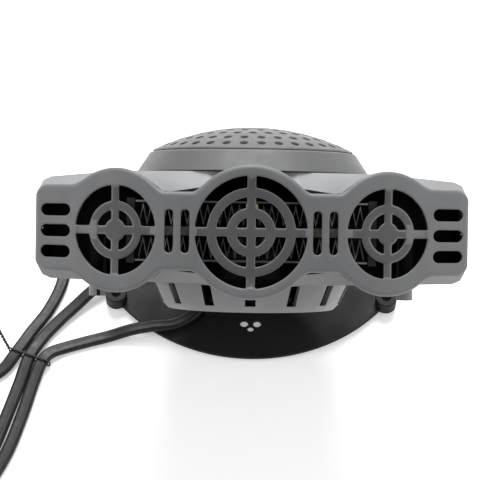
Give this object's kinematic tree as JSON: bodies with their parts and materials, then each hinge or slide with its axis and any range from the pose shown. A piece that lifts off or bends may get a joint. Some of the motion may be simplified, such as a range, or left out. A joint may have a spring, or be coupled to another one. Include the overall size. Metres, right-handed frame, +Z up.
{
  "type": "portable car fan heater",
  "caption": "Portable low-voltage fan heater with grilled outlets, a domed air intake, a tilting yoke, a round base plate and a coiled twin cord with a lighter-socket plug.",
  "frame": {"origin": "centre of the base's underside, on the surface it rests on", "axes": "+Z up, the outlets face -Y, +X to the right seen from the front"},
  "size_m": [0.3458, 0.2376, 0.1384],
  "materials": {
    "grey": "fine moulded texture",
    "mid_grey": "fine moulded texture",
    "pale_grey": "fine moulded texture",
    "black_plastic": "moulded",
    "rubber": "soft PVC and rubber",
    "painted_steel": "satin black paint",
    "steel": "zinc plated",
    "aluminium": "mill finish",
    "brass": "turned",
    "ceramic": "unglazed ceramic",
    "red_plastic": "glossy"
  },
  "bodies": {
    "base": {"base_plate": "painted_steel", "base_pad_outer": "rubber", "base_pad_inner": "rubber", "base_pad_centre": "rubber", "base_hub": "black_plastic", "hub_screw_1": "steel", "hub_screw_2": "steel", "hub_screw_3": "steel", "swivel_washer": "rubber", "swivel_screw": "steel", "cord_gland": "rubber", "cord_lead": "rubber", "cord_loop": "rubber", "cord_coil": "rubber", "cord_tie": "black_plastic", "plug_relief": "rubber", "plug_body": "black_plastic", "plug_contact_left": "steel", "plug_contact_right": "steel", "plug_cap": "black_plastic"},
    "yoke": {"yoke": "black_plastic", "tilt_screw_left": "steel", "tilt_screw_right": "steel", "friction_washer_left": "rubber", "friction_washer_right": "rubber"},
    "head": {"front_grille": "grey", "upper_shell": "pale_grey", "lower_shell": "pale_grey", "shell_screw_1": "steel", "shell_screw_2": "steel", "shell_screw_3": "steel", "shell_screw_4": "steel", "intake_ring": "mid_grey", "dome_grille": "mid_grey", "dust_filter": "black_plastic", "motor_bracket": "black_plastic", "motor": "painted_steel", "heater_fins_upper": "aluminium", "heater_fins_lower": "aluminium", "heater_bar": "ceramic", "heater_strip_upper": "aluminium", "heater_strip_lower": "aluminium", "heater_end_left": "black_plastic", "heater_end_right": "black_plastic", "thermal_cutout": "black_plastic", "thermal_fuse": "steel", "switch_body": "black_plastic", "pivot_bush_left": "black_plastic", "pivot_bush_right": "black_plastic"},
    "fan": {"motor_shaft": "steel", "fan_impeller": "black_plastic", "fan_nut": "brass"},
    "rocker": {"switch_rocker": "red_plastic"},
    "plug_tip": {"plug_tip": "steel"}
  },
  "joints": [
    {"name": "swivel", "type": "hinge", "parent": "base", "child": "yoke", "pos_m": [0, 0, 0.015], "axis": [0, 0, 1], "range_deg": [-170, 170]},
    {"name": "tilt", "type": "hinge", "parent": "yoke", "child": "head", "pos_m": [0, -0.057, 0.074], "axis": [-1, 0, 0], "range_deg": [-54, 30]},
    {"name": "fan_spin", "type": "hinge", "parent": "head", "child": "fan", "pos_m": [0, -0.05347, 0.06915], "axis": [0, 0.809, 0.5878], "continuous": true},
    {"name": "rocker_press", "type": "hinge", "parent": "head", "child": "rocker", "pos_m": [0, -0.02398, 0.02345], "axis": [1, 0, 0], "range_deg": [-8, 8]},
    {"name": "plug_tip_press", "type": "slide", "parent": "base", "child": "plug_tip", "axis": [0.9903, 0.1392, 0], "range_m": [0, 0.003], "stiffness_N_per_m": 200}
  ]
}
